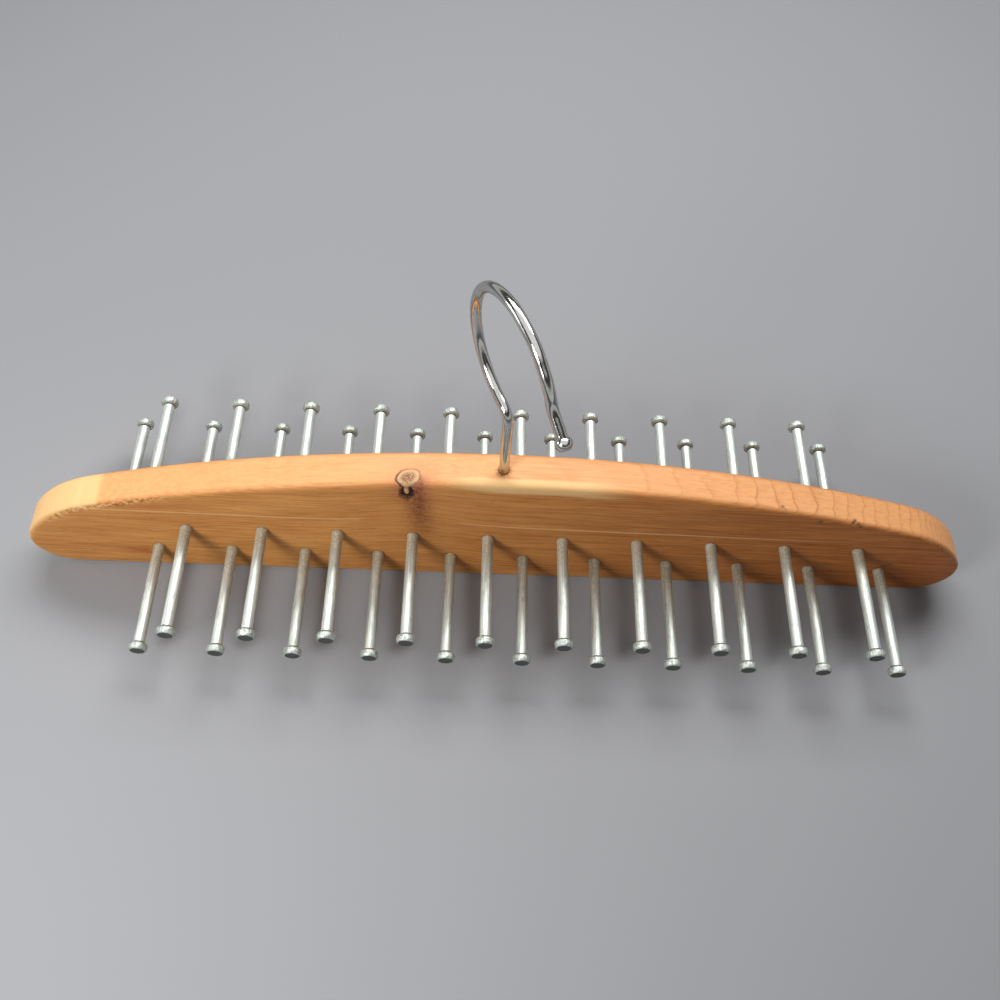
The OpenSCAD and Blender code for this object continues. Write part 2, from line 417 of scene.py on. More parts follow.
def knot_outline(P):
    """1 on the dark crack round the knot, which is wider to the front and weaker to the back right."""
    wide = 0.085 + 0.05 * np.clip((KNOT[1] + 1 - P[:, 1]) / 4, 0, 1)
    wide += 0.05 * wobble(P, (1.6, 1.6, 1.6))
    crack = np.exp(-((knot_ring(P) - 1.0) / wide) ** 2)
    crack *= np.clip(0.7 - 0.1 * (P[:, 0] - KNOT[0] + P[:, 1] - KNOT[1]), 0.45, 1)
    return np.where(near_knot(P) & (P[:, 2] > KNOT_POINT_Z), crack, 0)


print("knot at:", KNOT)

# %% [markdown]
# ## Pocket, drop, slit and torn rim
# Below the knot the wood has a pocket of dark resin with a hardened drop in it. A short slit is
# further left, and the drill has torn the rim of the hook's hole. Each is a soft-edged shape of
# a named size at a named place.

# %% Describe the pocket, the slit and the torn rim
POCKET = (-41.4, 78.2)
POCKET_HALF = (3.7, 6.4)
DROP = (-41.6, 80.0)
DROP_HALF = (1.2, 2.5)
SLIT = (-64.8, 53.0)
SLIT_HALF = (2.4, 0.42)
SLIT_SLOPE = 0.04
# nearer to the front than these lie the front rounding and the front face
FRONT_EDGE_Y = -5.0
FRONT_FACE_Y = -8.0
MOUTH_R = 2.75
hook_x = frame["record"]["behaviour"]["joints"][0]["pos_m"][0] / MM


def resin(P):
    """1 in the dark pocket under the knot."""
    u = (P[:, 0] - POCKET[0]) / POCKET_HALF[0]
    w = (P[:, 2] - POCKET[1]) / POCKET_HALF[1]
    edge = np.hypot(u, w) + 0.2 * wobble(P, (1.1, 1.1, 1.1))
    below = (P[:, 1] < FRONT_EDGE_Y) & ((knot_ring(P) > 0.98) | (P[:, 2] < KNOT_POINT_Z))
    return np.where(below, np.clip((1.0 - edge) / 0.3, 0, 1), 0)


def drop(P):
    """1 on the hardened drop in the pocket."""
    u = (P[:, 0] - DROP[0]) / DROP_HALF[0]
    w = (P[:, 2] - DROP[1]) / DROP_HALF[1]
    return np.where(P[:, 1] < FRONT_EDGE_Y, np.clip((1.1 - np.hypot(u, w)) / 0.3, 0, 1), 0)


def slit(P):
    """1 in the short slit on the front face."""
    u = P[:, 0] - SLIT[0]
    w = (P[:, 2] - SLIT[1] - SLIT_SLOPE * u) / SLIT_HALF[1]
    away = np.hypot(u / SLIT_HALF[0], w)
    return np.where(P[:, 1] < FRONT_FACE_Y, np.clip((1.1 - away) / 0.4, 0, 1), 0)


def torn(P):
    """1 where the drill has torn fibres round the mouth of the hook's hole."""
    u, v = P[:, 0] - hook_x, P[:, 1]
    r, a = np.hypot(u, v), np.arctan2(v, u)
    spikes = 0.5 + 0.5 * np.sin(9 * a + 4 * np.sin(2 * a + 0.7) + 1.0)
    spikes *= np.where(v < 0.8, 1.0, 0.35)
    fade = np.clip(1 - (r - MOUTH_R) / (0.5 + 1.6 * spikes), 0, 1)
    return np.where((P[:, 2] > 80) & (r < 6), fade * spikes, 0)


print("resin pocket, half sizes in mm:", POCKET_HALF)

# %% [markdown]
# ## Scuffs, dents and depth
# The front rounding is scuffed near the left end, and there are small dents and chips along the
# right of the edge. Everything that the wood has been through is added up into one depth below the
# planed surface. It never rises above that surface, so the board keeps its packed size.

# %% Add up how deep the wood lies
# from where to where the scuffs run, and how long they take to start and to end
SCUFF_X = (-208, -140)
SCUFF_FADE = (8, 20)
SCUFF_INSET = 2.0
SCUFF_HALF = 1.3
SCUFF_LOW = 36
SCUFF_SCALE = (1.3, 0.8, 0.8)
# place, radius and depth of each dent
DENTS = [(121.1, -5.8, 73.5, 0.7, 0.40), (122.0, -6.6, 72.8, 0.6, 0.35), (139.5, -8.4, 66.9, 0.9, 0.35),
         (155.8, -6.5, 64.7, 0.8, 0.60), (157.3, -7.4, 63.6, 0.8, 0.60), (158.6, -8.0, 62.6, 0.7, 0.45),
         (154.8, -7.6, 64.6, 0.7, 0.30), (99.0, -8.0, 78.6, 0.8, 0.25), (183.5, -8.7, 23.9, 1.1, 1.0),
         (184.7, -8.7, 25.6, 1.2, 0.9), (186.2, -8.7, 27.2, 0.9, 0.6), (155.0, -8.7, 26.5, 0.8, 0.3),
         (-30.5, -8.7, 71.4, 0.5, 0.3), (-92.0, -8.7, 66.0, 0.5, 0.3)]
CRACK_DEPTH = 0.55
POCKET_DEPTH = 1.3
SLIT_DEPTH = 1.1
TORN_DEPTH = 0.30


def inset(P):
    """How far a place on the upper half lies in from the outline."""
    q = np.stack([abs(P[:, 0]), P[:, 2]], 1)
    on_arch = np.arctan2(q[:, 1] - arch_c[1], q[:, 0]) > heading(shoulder_c - arch_c)
    from_arch = arch_r - np.linalg.norm(q - arch_c, axis=1)
    return np.where(on_arch, from_arch, SHOULDER_R - np.linalg.norm(q - shoulder_c, axis=1))


def scuffed(P):
    """1 on the rough stretch of the front rounding near the left end."""
    x = P[:, 0]
    along = np.clip((x - SCUFF_X[0]) / SCUFF_FADE[0], 0, 1) * np.clip((SCUFF_X[1] - x) / SCUFF_FADE[1], 0, 1)
    across = np.exp(-((inset(P) - SCUFF_INSET) / SCUFF_HALF) ** 2)
    return along * across * (P[:, 2] > SCUFF_LOW) * (P[:, 1] < FRONT_EDGE_Y)


def depth(P):
    """How far the wood lies below its planed surface."""
    d = 0.03 + 0.03 * wobble(P, (14, 5, 5))
    d += CRACK_DEPTH * knot_outline(P) + POCKET_DEPTH * resin(P) * (1 - drop(P))
    d += SLIT_DEPTH * slit(P) + TORN_DEPTH * torn(P)
    inside = near_knot(P) & (P[:, 2] > 82) & (knot_ring(P) < 0.95)
    d += np.where(inside, 0.10 + 0.10 * wobble(P, (0.7, 0.7, 0.7)), 0)
    d += scuffed(P) * (0.2 + 0.5 * wobble(P, SCUFF_SCALE))
    for x, y, z, r, deep in DENTS:
        away = np.linalg.norm((P - (x, y, z)) / (r * 1.5, r, r), axis=1)
        d += deep * np.exp(-away ** 2 * 1.6)
    return np.maximum(d, 0.0)


print("dents and chips:", len(DENTS))

# %% [markdown]
# ## The holes
# The pegs sit in drilled holes and have bruised the wood a little where they went in. The darker
# ring at each peg's foot is partly that crushed wood and partly painted shade where peg and board
# meet. The hook's hole keeps its running clearance, and the retaining pin's hole is only as deep as
# can be seen past the pin's head. All places come from the imported nodes.

# %% Where the holes are
PEG_D = 5.0
PEG_DEPTH = 11.0
HOLE_GAP = 0.03
BRUISE_DEPTH = 0.18
BRUISE_FADE = 0.7
pegs = sorted(name for name in frame["nodes"] if "_peg_" in name)
peg_places = {}
for name in pegs:
    low, high = box_mm(name)
    side = -1 if name.startswith("front") else 1
    peg_places[name] = ((low[0] + high[0]) / 2, (low[2] + high[2]) / 2, side)

pin_low, pin_high = box_mm("hook_retaining_pin")
pin_r = (pin_high[0] - pin_low[0]) / 2
pin_place = ((pin_low[0] + pin_high[0]) / 2, (pin_low[2] + pin_high[2]) / 2)
hole_r = PEG_D / 2 + HOLE_GAP


# the wood dips a little at each peg's foot and is coloured darker there: partly crushed wood, partly painted
# shade
def bruise_and_foot_shade(P):
    """1 close to a peg's foot, fading over a millimetre."""
    result = np.zeros(len(P))
    for x, z, side in peg_places.values():
        away = np.hypot(P[:, 0] - x, P[:, 2] - z) - PEG_D / 2
        near = np.exp(-np.maximum(away, 0) / BRUISE_FADE)
        result = np.maximum(result, np.where(P[:, 1] * side > -FRONT_FACE_Y, near, 0))
    return result


def skin(place, normal):
    """The worn surface under a place on the planed board."""
    deep = depth(place) + BRUISE_DEPTH * bruise_and_foot_shade(place)
    return place - normal * deep[:, None]


print("pegs:", len(pegs), "retaining pin's head radius:", round(pin_r, 2))

# %% [markdown]
# ## Collecting the board's shell
# All patterns go into one mesh. A drilled hole is a few rings of points that step down into the
# wood, with a flat bottom, and its first ring lies on the worn surface.

# %% Start the shell
STATION_STEP = 0.8
shell = bmesh.new()
stations = np.linspace(0, outline_length, round(outline_length / STATION_STEP), endpoint=False)
sections = np.concatenate([np.linspace(0, round_t, 8)[:-1], np.linspace(round_t, round_t + flat_t, 8)[:-1],
                           np.linspace(round_t + flat_t, strip_t, 8)])


def s_above(x):
    """Distance along the edge of the place on the top at x."""
    top = (outline_rows[:, 1] > END_HEIGHT) & (outline_rows[:, 3] > 0.5)
    return np.interp(-x, -outline_rows[top, 0], outline_s[top])


def add_to_shell(places, faces):
    """Adds places in mm and faces between them."""
    verts = [shell.verts.new(p) for p in places]
    for f in faces:
        shell.faces.new([verts[k] for k in f])


def add_wall(centre, across, upward, inward, steps, surface_ring):
    """A drilled hole: rings of a radius at a depth, and a flat bottom."""
    a = np.arange(RING_POINTS) * 2 * math.pi / RING_POINTS
    circle = np.outer(np.cos(a), across) + np.outer(np.sin(a), upward)
    rings = [surface_ring] + [centre + r * circle + deep * inward for r, deep in steps]
    places = np.concatenate(rings + [[centre + steps[-1][1] * inward]])
    n, faces = RING_POINTS, []
    for k in range(len(rings) - 1):
        for i in range(n):
            j = (i + 1) % n
            faces.append((k * n + i, k * n + j, (k + 1) * n + j, (k + 1) * n + i))
    last, bottom = (len(rings) - 1) * n, len(rings) * n
    faces += [(last + i, last + (i + 1) % n, bottom) for i in range(n)]
    add_to_shell(places, faces)


print("stations round the edge:", len(stations))

# %% [markdown]
# ## The edge strip
# The strip is one long rectangle, closed into a ring by welding its two ends. It is finer at the
# knot, round the hook's hole and where the edge is dented or scuffed.

# %% Cut the edge strip
STRIP_STEP = 1.35
DENTED_X = (121.1, 139.5, 157.0)
SCUFF_MIDDLE_X = -177.0
seat = (s_above(hook_x), strip_t / 2, MOUTH_R)
border = np.concatenate([
    np.stack([np.append(stations, outline_length), np.zeros(len(stations) + 1)], 1),
    np.stack([np.full(len(sections) - 1, outline_length), sections[1:]], 1),
    np.stack([stations[::-1], np.full(len(stations), strip_t)], 1),
    np.stack([np.zeros(len(sections) - 2), sections[-2:0:-1]], 1)])
fine = [(s_above(KNOT[0]), 5.0, 7.0, 7.5, 0.32), (seat[0], seat[1], 6.5, 4.6, 0.4)]
fine += [(s_above(x), round_t * 0.75, 4.0, 4.5, 0.4) for x in DENTED_X]
fine += [(s_above(SCUFF_MIDDLE_X), round_t * 0.75, 31.0, 3.4, 0.5)]
verts, faces = fill(border, [seat], fine, STRIP_STEP)
add_to_shell(skin(*on_strip(verts)), faces)
print("edge strip:", len(faces), "triangles")

# %% [markdown]
# ## The two faces
# Each face lies inside the rounded edge and has its own row of holes. Its border repeats the
# strip's stations, so that the two meet point by point.

# %% Cut the two faces
FACE_STEP = 2.2
PIN_STEPS = [(pin_r, 0.9), (0.85, 0.9), (0.85, 5.0)]
FRONT_FINE = [(-41.3, 77.5, 5.5, 5.5, 0.35), (*SLIT, 4, 1.6, 0.35), (184.0, 27.0, 4.0, 4.0, 0.4),
              (SCUFF_MIDDLE_X, 55.0, 31.0, 8.0, 0.55)]
edge_x, edge_z, out_x, out_z = on_outline(stations)
border = np.stack([edge_x - EDGE_R * out_x, edge_z - EDGE_R * out_z], 1)
for side in (-1, 1):
    holes = [(x, z, hole_r) for x, z, s in peg_places.values() if s == side]
    if side > 0:
        holes.append((*pin_place, pin_r))
    verts, faces = fill(border, holes, FRONT_FINE if side < 0 else [], FACE_STEP)
    add_to_shell(skin(*on_face(verts, side)), faces)
    inward = np.array([0, -side, 0])
    for x, z, r in holes:
        surface = skin(*on_face(ring(x, z, r), side))
        centre = np.array([x, side * face_y, z])
        steps = [(r, PEG_DEPTH)] if r == hole_r else PIN_STEPS
        add_wall(centre, (1, 0, 0), (0, 0, 1), inward, steps, surface)
    print("face", side, ":", len(faces), "triangles,", len(holes), "holes")

# %% [markdown]
# ## The hook's hole, and welding
# The hook's hole opens a little at its mouth, where the drill wandered. Then everything that meets
# is welded into one closed shell. The count of open edges has to be 0, because a shell with a gap
# would show it as a dark line.

# %% Drill the hook's hole and weld the shell
HOOK_SEAT_R = 2.25
SEAT_DEPTH = 36.0
WELD = 0.002
surface = skin(*on_strip(ring(*seat)))
centre = np.array([hook_x, 0, board_height])
steps = [(2.55, 0.25), (2.35, 0.5), (HOOK_SEAT_R, 0.75), (HOOK_SEAT_R, SEAT_DEPTH)]
add_wall(centre, (-1, 0, 0), (0, 1, 0), np.array([0, 0, -1]), steps, surface)

bmesh.ops.remove_doubles(shell, verts=shell.verts, dist=WELD)
bmesh.ops.recalc_face_normals(shell, faces=shell.faces)
open_edges = sum(1 for e in shell.edges if not e.is_manifold)
print("board:", len(shell.verts), "points,", len(shell.faces), "faces, open edges:", open_edges)

# %% [markdown]
# ## The finished board
# The shell becomes one smooth-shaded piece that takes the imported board's place and rides with it.

# %% Turn the shell into a piece
board_points = np.array([v.co for v in shell.verts])
bmesh.ops.scale(shell, vec=(MM, MM, MM), verts=shell.verts)
for f in shell.faces:
    f.smooth = True
board_mesh = bpy.data.meshes.new("cedar_board")
shell.to_mesh(board_mesh)
shell.free()
cedar_board = bpy.data.objects.new("cedar_board", board_mesh)
scene.collection.objects.link(cedar_board)
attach(cedar_board, "board")
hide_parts("board")
print("board's points kept for its marks:", len(board_points))

# %% [markdown]
# ## Marks that follow the tree's growth
# Some colours follow growth and wear, not a texture: the red stain that runs down from the knot,
# a rust-red patch low at the left, and the pale sapwood at the left end and in a band right of the
# hook. They are worked out here for every point of the mesh.

# %% Work out the stain, the patch and the sapwood
STAIN_X = -37.4
STAIN_TOP = 84
STAIN_LEAN = 0.03
STAIN_HALF = 5.0
RUST = (-170, 15)
RUST_HALF = (8, 3.5)
SAP_END_X = (-180, -177)
SAP_BAND_Z = 83.2
SAP_BAND_X = (-30, -8, 30, 58)


def smooth(value, low, high):
    """0 below low, 1 above high, and a soft step between."""
    t = np.clip((value - low) / (high - low), 0, 1)
    return t * t * (3 - 2 * t)


X, Y, Z = board_points.T
under_face = face_y - abs(Y)
shift = STAIN_LEAN * (STAIN_TOP - Z)
stain = np.exp(-((X - STAIN_X - shift) / (STAIN_HALF + shift)) ** 2) * smooth(Z, 24, 66) * smooth(-Y, 2, 6)
from_pocket = np.hypot((X - POCKET[0]) / 7.5, (Z - POCKET[1]) / 8)
stain = np.maximum(stain, 0.7 * np.exp(-from_pocket ** 2) * (Y < -6))

rust_u = (X - RUST[0] + 1.2 * (Z - RUST[1])) / RUST_HALF[0]
rust_w = (Z - RUST[1]) / RUST_HALF[1]
rust_patch = 0.9 * (Y < FRONT_FACE_Y) * np.exp(-rust_u ** 2 - rust_w ** 2)

band_low = SAP_BAND_Z - 0.045 * (X - SAP_BAND_X[0])
sap_band = smooth(Z, band_low - 0.6, band_low + 0.4) * (Y < -4.5)
sap_band *= smooth(X, *SAP_BAND_X[:2]) * (1 - smooth(X, *SAP_BAND_X[2:]))
sap_end = (1 - smooth(X, *SAP_END_X)) * smooth(under_face, 0.0, 1.5)
print("points on the stain:", int((stain > 0.5).sum()))

# %% [markdown]
# ## Numbers on the points
# Each mark is kept as one number for every point of the mesh, and the material reads it by its
# name. That keeps a mark exactly where the shape is, which a texture over the whole board wouldn't.

# %% Keep the marks on the points
top_knot = near_knot(board_points) & (Z > 82)
ring_value = knot_ring(board_points)
spread = np.hypot(X - KNOT[0] - 2, Y - KNOT[1])
rough_share = scuffed(board_points)
scuff_wobble = wobble(board_points, SCUFF_SCALE)
# where the dents and chips are, for the painted shade in their hollows
dents = sum(np.exp(-np.linalg.norm((board_points - (x, y, z)) / (r * 1.3, r, r * 0.8), axis=1) ** 2)
            for x, y, z, r, deep in DENTS)
resin_left = resin(board_points) * (1 - drop(board_points))
marks = {
    # this also sets where the faces' painted shade gives way to the edge's painted light
    "planed_face": np.clip(1 - under_face / EDGE_R, 0, 1),
    "knot_wood": np.where(top_knot & (Z > KNOT_POINT_Z), 1 - smooth(ring_value, 0.97, 1.02), 0),
    "knot_rings": np.where(top_knot, ring_value, 2),
    # the resin in the pocket is really dark; the near black in the knot's crack is partly painted shade, and
    # in the slit and the torn rim it is painted shade in the hollow
    "dark_resin_and_crack_shade": np.maximum.reduce([knot_outline(board_points), resin_left, slit(board_points),
                                     0.5 * torn(board_points)]),
    "resin_drop": drop(board_points),
    "red_stain": stain,
    "rust_patch": rust_patch,
    "pink_halo": np.where(Z > 76, np.exp(-(np.maximum(spread - 4.5, 0) / 5.5) ** 2), 0),
    "sapwood": np.maximum.reduce([sap_end, sap_band, rough_share * smooth(-scuff_wobble, 0.05, 0.3)]),
    # painted shade in the dents and chips, with darker strokes along the scuffed rounding
    "dent_shade_and_scuff_strokes": dents + 0.7 * rough_share * smooth(scuff_wobble, 0.05, 0.35),
    # partly crushed wood, partly painted shade: a darker ring at each peg's foot
    "bruise_and_foot_shade": bruise_and_foot_shade(board_points),
}


def number_points(mesh, name, values):
    """Keeps one number for each point under a name that a material can read."""
    layer = mesh.attributes.new(name, "FLOAT", "POINT")
    layer.data.foreach_set("value", np.asarray(values, np.float32))


for name, values in marks.items():
    number_points(board_mesh, name, np.clip(values, 0, 2))
print("marks:", ", ".join(marks))

# %% [markdown]
# ## Aromatic red cedar, planed and sanded
# The wood is unfinished, so it is matt with a faint waxy sheen. Everything in it follows the grain,
# which is nearly level in this board and flows up over the knot. So the material starts with
# a height that follows the grain: the real height, tilted a little, with a hump at the knot.

# %% Follow the grain
GRAIN_TILT = 0.02
HUMP_X = -41
HUMP_HALF = 25
HUMP_HEIGHT = 5.0
cedar, tree = new_material("aromatic_red_cedar_sanded")
in_mm = place_in_mm(tree)
x, y, z = add(tree, "SeparateXYZ", {0: in_mm}).outputs
marked = {name: add(tree, "Attribute", attribute_name=name).outputs["Fac"] for name in marks}

tilted = add(tree, "Math", {0: x, 1: GRAIN_TILT, 2: z}, operation="MULTIPLY_ADD")
from_knot = add(tree, "Math", {0: x, 1: 1 / HUMP_HALF, 2: -HUMP_X / HUMP_HALF}, operation="MULTIPLY_ADD")
squared = add(tree, "Math", {0: from_knot, 1: from_knot}, operation="MULTIPLY")
hump = add(tree, "Math", {0: math.exp(-1), 1: squared}, operation="POWER")
grain_z = add(tree, "Math", {0: hump, 1: -HUMP_HEIGHT, 2: tilted}, operation="MULTIPLY_ADD")
grain = add(tree, "CombineXYZ", {"X": x, "Y": y, "Z": grain_z})
print("marks read by the cedar:", len(marked))

# %% [markdown]
# ## Growth rings
# The rings are about 1.8 mm apart. On the faces they are long lines, and on the sloping ends of the
# top edge they come out as bands across it. A saw-shaped wave draws them, because a year starts
# with pale spring wood and ends with a dark line. Slow noise pushes them up and down, so that no two
# years are alike, and they are stronger towards the right end.

# %% Draw the growth rings
RING_SPACING = 1.8
WAVE_PERIOD = math.pi / 10
SIDE_SHARE = 0.1
slow_place = add(tree, "Mapping", {"Vector": grain, "Scale": per_mm(83.3, 83.3, 50)})
slow = add(tree, "TexNoise", {"Vector": slow_place, "Scale": 1.0, "Detail": 1.0})
drift = add(tree, "Math", {0: slow, 1: 6.0, 2: grain_z}, operation="MULTIPLY_ADD")
uneven_place = add(tree, "Mapping", {"Vector": grain, "Scale": per_mm(33.3, 10, 2.38)})
uneven = add(tree, "TexNoise", {"Vector": uneven_place, "Scale": 1.0, "Detail": 2.0})
drift = add(tree, "Math", {0: uneven, 1: 1.5, 2: drift}, operation="MULTIPLY_ADD")
side_x, side_y = (add(tree, "Math", {0: way, 1: SIDE_SHARE}, operation="MULTIPLY") for way in (x, y))
wave_place = add(tree, "CombineXYZ", {"X": side_x, "Y": side_y, "Z": drift})
rings = add(tree, "TexWave", {"Vector": wave_place, "Scale": WAVE_PERIOD / RING_SPACING, "Distortion": 0.9,
                              "Detail": 2.0, "Detail Scale": 2.0},
            wave_type="BANDS", bands_direction="Z", wave_profile="SAW")
late_wood = add(tree, "ValToRGB", {"Fac": rings})
ramp = late_wood.color_ramp.elements
ramp[0].position, ramp[0].color = 0.0, (0.2, 0.2, 0.2, 1)
ramp[1].position, ramp[1].color = 0.97, (1, 1, 1, 1)
for at, grey in ((0.08, 0.0), (0.6, 0.05), (0.86, 0.25), (0.92, 0.8)):
    ramp.new(at).color = (grey, grey, grey, 1)

patchy_place = add(tree, "Mapping", {"Vector": grain, "Scale": per_mm(50, 12.5, 11.1)})
patchy = add(tree, "TexNoise", {"Vector": patchy_place, "Scale": 1.0, "Detail": 3.0})
more_right = add(tree, "MapRange", {"Value": x, "From Min": 5, "From Max": 110,
                                    "To Min": 0.05, "To Max": 0.42})
ring_patchy = add(tree, "MapRange", {"Value": patchy, "From Min": 0.35, "From Max": 0.65,
                                     "To Min": 0.5, "To Max": 1.2})
ring_amount = add(tree, "Math", {0: late_wood, 1: more_right}, operation="MULTIPLY")
ring_amount = add(tree, "Math", {0: ring_amount, 1: ring_patchy}, operation="MULTIPLY")
print("ring spacing in mm:", RING_SPACING)

# %% [markdown]
# ## Fibres and dashes
# Planing cuts the long cells open, which leaves fine lines about 1 mm apart and 25 mm long, and
# short dark dashes of about 6 mm. Real fibres are thinner, but these are as fine as the picture can
# show. They are stronger on the faces than on the edge, which was sanded more.

# %% Draw the fibres and the dashes
fibre_place = add(tree, "Mapping", {"Vector": grain, "Scale": per_mm(25, 1.05, 1.05)})
fibres = add(tree, "TexNoise", {"Vector": fibre_place, "Scale": 1.0, "Detail": 5.0, "Roughness": 0.65})
fibre_share = add(tree, "MapRange", {"Value": marked["planed_face"], "To Min": 0.35, "To Max": 0.85})
fibre_amount = add(tree, "MapRange", {"Value": fibres, "From Min": 0.4, "From Max": 0.66, "To Min": 0.0,
                                      "To Max": fibre_share.outputs[0]})
dash_place = add(tree, "Mapping", {"Vector": grain, "Scale": per_mm(6.25, 0.909, 0.769)})
dashes = add(tree, "TexNoise", {"Vector": dash_place, "Scale": 1.0, "Detail": 2.0})
dash_share = add(tree, "MapRange", {"Value": marked["planed_face"], "To Min": 0.12, "To Max": 0.4})
dash_amount = add(tree, "MapRange", {"Value": dashes, "From Min": 0.6, "From Max": 0.74, "To Min": 0.0,
                                     "To Max": dash_share.outputs[0]})
print("cedar nodes so far:", len(tree.nodes))

# %% [markdown]
# ## The wood's colours
# The faces are painted a darker, more saturated orange-brown and the edge a paler, pinker one,
# though the wood is one colour through: this is painted shade on the faces and painted light on
# the edge, and only partly the edge's sanding. Redder heartwood runs in streaks towards the right.
# The rings are a darker red-brown. Fibres and dashes multiply the colour below them, as shadows
# in a groove do.

# %% Colour the wood
# painted light and shade: a paler, lit copy of the wood's colour for the edge, a darker, shaded one for the
# faces
shaded_face_wood = add(tree, "Mix", {"Factor": patchy, 6: colour("#c8823c"), 7: colour("#e6a860")}, data_type="RGBA")
sanded_lit_edge_wood = add(tree, "Mix", {"Factor": patchy, 6: colour("#e8a569"), 7: colour("#f0af77")}, data_type="RGBA")
heart = add(tree, "MapRange", {"Value": x, "From Min": -90, "From Max": 190, "To Min": 0.0, "To Max": 0.9})
streaky_place = add(tree, "Mapping", {"Vector": grain, "Scale": per_mm(71.4, 5, 3.7)})
streaky = add(tree, "TexNoise", {"Vector": streaky_place, "Scale": 1.0, "Detail": 4.0, "Roughness": 0.6})
streaky = add(tree, "MapRange", {"Value": streaky, "From Min": 0.36, "From Max": 0.64})
heart_wood = add(tree, "Mix", {"Factor": streaky, 6: colour("#a05524"), 7: colour("#c37738")},
                 data_type="RGBA")
shaded_face_wood = add(tree, "Mix", {"Factor": heart, 6: shaded_face_wood.outputs[2], 7: heart_wood.outputs[2]},
                data_type="RGBA")
wood = add(tree, "Mix", {"Factor": marked["planed_face"], 6: sanded_lit_edge_wood.outputs[2], 7: shaded_face_wood.outputs[2]},
           data_type="RGBA")
wood = add(tree, "Mix", {"Factor": ring_amount, 6: wood.outputs[2], 7: colour("#a55c2c")}, data_type="RGBA")
for amount, shade in ((fibre_amount, "#d8c6b6"), (dash_amount, "#ab8468")):
    wood = add(tree, "Mix", {"Factor": amount, 6: wood.outputs[2], 7: colour(shade)}, data_type="RGBA",
               blend_type="MULTIPLY")
print("heartwood grows from x = -90 to 190 mm")

# %% [markdown]
# ## The pale streak
# One thin pale line runs along the face with the grain, above the pegs. It is broken off near the
# knot and fades out at the right.

# %% Add the pale streak
STREAK_Z = 51.0
STREAK_HALF = 0.5
from_streak = add(tree, "Math", {0: grain_z, 1: STREAK_Z}, operation="SUBTRACT")
streak_width = add(tree, "Math", {0: from_streak, 1: STREAK_HALF}, operation="DIVIDE")
streak_square = add(tree, "Math", {0: streak_width, 1: streak_width}, operation="MULTIPLY")
streak = add(tree, "Math", {0: math.exp(-1), 1: streak_square}, operation="POWER")
from_knot_x = add(tree, "Math", {0: x, 1: HUMP_X}, operation="SUBTRACT")
from_knot_x = add(tree, "Math", {0: from_knot_x}, operation="ABSOLUTE")
streak_gap = add(tree, "MapRange", {"Value": from_knot_x, "From Min": 17, "From Max": 26,
                                    "To Min": 0.0, "To Max": 0.75})
streak_end = add(tree, "MapRange", {"Value": x, "From Min": 120, "From Max": 165,
                                    "To Min": 1.0, "To Max": 0.0})
for share in (streak_gap, streak_end):
    streak = add(tree, "Math", {0: streak, 1: share}, operation="MULTIPLY")
wood = add(tree, "Mix", {"Factor": streak, 6: wood.outputs[2], 7: colour("#eab983")}, data_type="RGBA")
print("pale streak at height:", STREAK_Z)

# %% [markdown]
# ## Colouring the marks
# Every mark has a colour and a strongest share of it. The stain and the rust-red patch are blotchy,
# because resin soaks in unevenly.

# %% Colour the marks
# The dark of the dents and chips is painted shade, with darker strokes along the scuff, and the darker ring
# at each peg's foot is partly crushed wood and partly painted shade where peg and board meet.
MARK_COLOURS = (("sapwood", "#f0ca8c", 0.7), ("pink_halo", "#e8936a", 0.4), ("red_stain", "#642414", 0.98),
                ("rust_patch", "#a03e16", 0.9), ("dent_shade_and_scuff_strokes", "#3e1e0e", 0.85), ("bruise_and_foot_shade", "#8a5230", 0.4))
BLOTCH_SIZE = 1.818
blotch_noise = add(tree, "TexNoise", {"Vector": in_mm, "Scale": 1 / BLOTCH_SIZE, "Detail": 4.0,
                                      "Roughness": 0.7})
blotches = add(tree, "MapRange", {"Value": blotch_noise, "From Min": 0.32, "From Max": 0.66,
                                  "To Min": 0.4, "To Max": 1.0})
for name, shade, most in MARK_COLOURS:
    reach = add(tree, "Math", {0: marked[name], 1: most}, operation="MULTIPLY", use_clamp=True)
    mottled = blotches if name in ("red_stain", "rust_patch") else 1.0
    amount = add(tree, "Math", {0: reach, 1: mottled}, operation="MULTIPLY")
    wood = add(tree, "Mix", {"Factor": amount, 6: wood.outputs[2], 7: colour(shade)}, data_type="RGBA")
print("marks coloured:", len(MARK_COLOURS))

# %% [markdown]
# ## The knot's wood
# The knot is end grain of a dead branch: pale and dry at its rim, brown and speckled in the middle,
# with a nearly black crack round it, whose dark is partly painted shade in the crack, and a drop the
# colour of honey in the pocket below.

# %% Colour the knot
KNOT_SPECK = 0.588
knot_noise = add(tree, "TexNoise", {"Vector": in_mm, "Scale": 1 / KNOT_SPECK, "Detail": 5.0,
                                    "Roughness": 0.7})
knot_middle = add(tree, "MapRange", {"Value": marked["knot_rings"], "From Min": 0.35, "From Max": 0.9,
                                     "To Min": 1.0, "To Max": 0.0})
knot_specks = add(tree, "MapRange", {"Value": knot_noise, "From Min": 0.38, "From Max": 0.56,
                                     "To Min": 0.25, "To Max": 1.3})
knot_amount = add(tree, "Math", {0: knot_middle, 1: knot_specks}, operation="MULTIPLY", use_clamp=True)
knot_wood = add(tree, "Mix", {"Factor": knot_amount, 6: colour("#dcb386"), 7: colour("#8a5a36")},
                data_type="RGBA")
# painted shade: near black in the crack, the slit and the torn rim; the pocket's resin is really dark
for name, shade in (("knot_wood", knot_wood.outputs[2]), ("dark_resin_and_crack_shade", colour("#2c130a")),
                    ("resin_drop", colour("#c99a6c"))):
    wood = add(tree, "Mix", {"Factor": marked[name], 6: wood.outputs[2], 7: shade}, data_type="RGBA")
print("cedar nodes so far:", len(tree.nodes))

